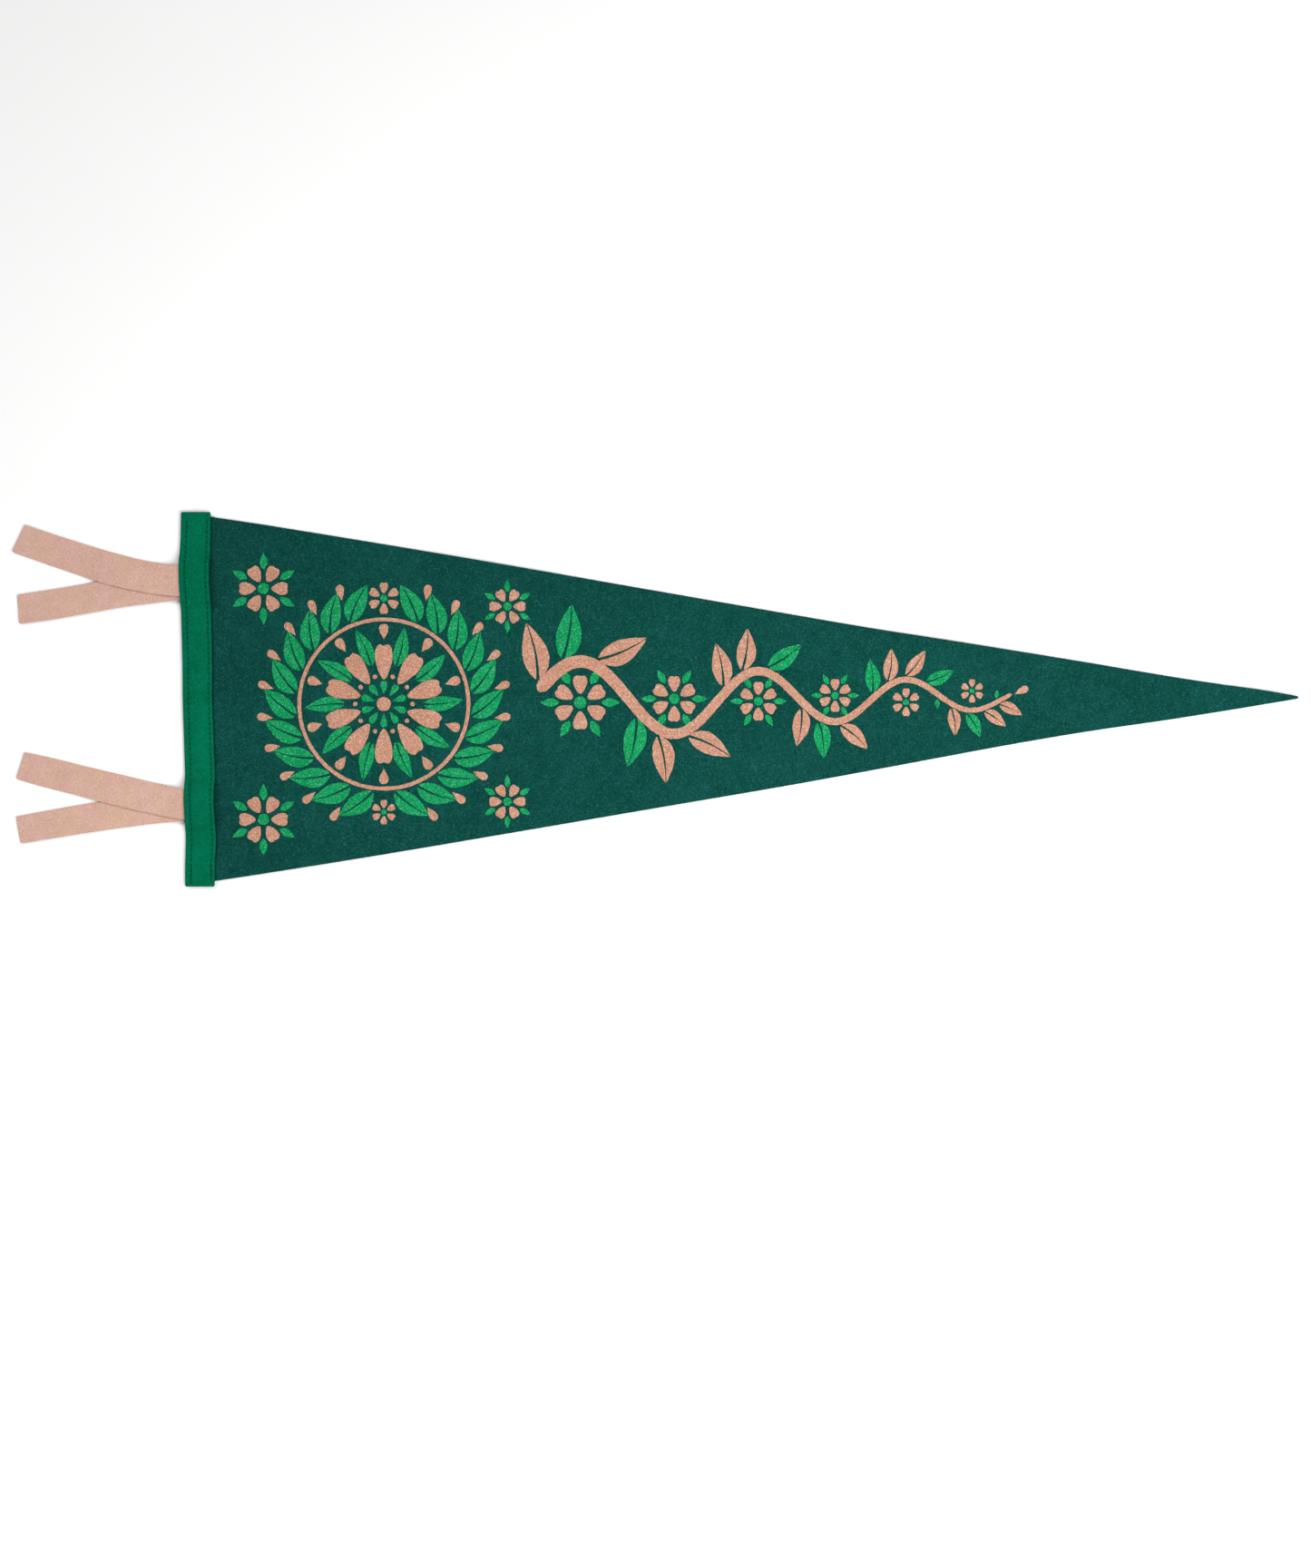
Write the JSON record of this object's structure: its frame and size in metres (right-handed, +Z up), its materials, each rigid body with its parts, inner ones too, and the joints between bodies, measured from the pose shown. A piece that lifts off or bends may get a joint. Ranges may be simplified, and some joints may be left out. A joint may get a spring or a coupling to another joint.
{
  "type": "pennant flag",
  "caption": "Long triangular felt pennant lying flat, with a sewn heading band and folded felt ties at its wide end for tying it to a pole or hanging it.",
  "frame": {"origin": "on the back of the cloth in the middle of the hoist, under the heading band, on the surface that the pennant lies on", "axes": "+X from the hoist to the point, +Y along the hoist, +Z up, out of the printed face"},
  "size_m": [0.7906, 0.2303, 0.0057],
  "materials": {
    "body_felt": "matt dark green felt",
    "band_felt": "matt bright green felt",
    "tie_felt": "matt pale peach felt"
  },
  "bodies": {
    "root": {"pennant_body": "body_felt", "header_band": "band_felt", "tie_upper": "tie_felt", "tie_lower": "tie_felt"}
  },
  "joints": []
}
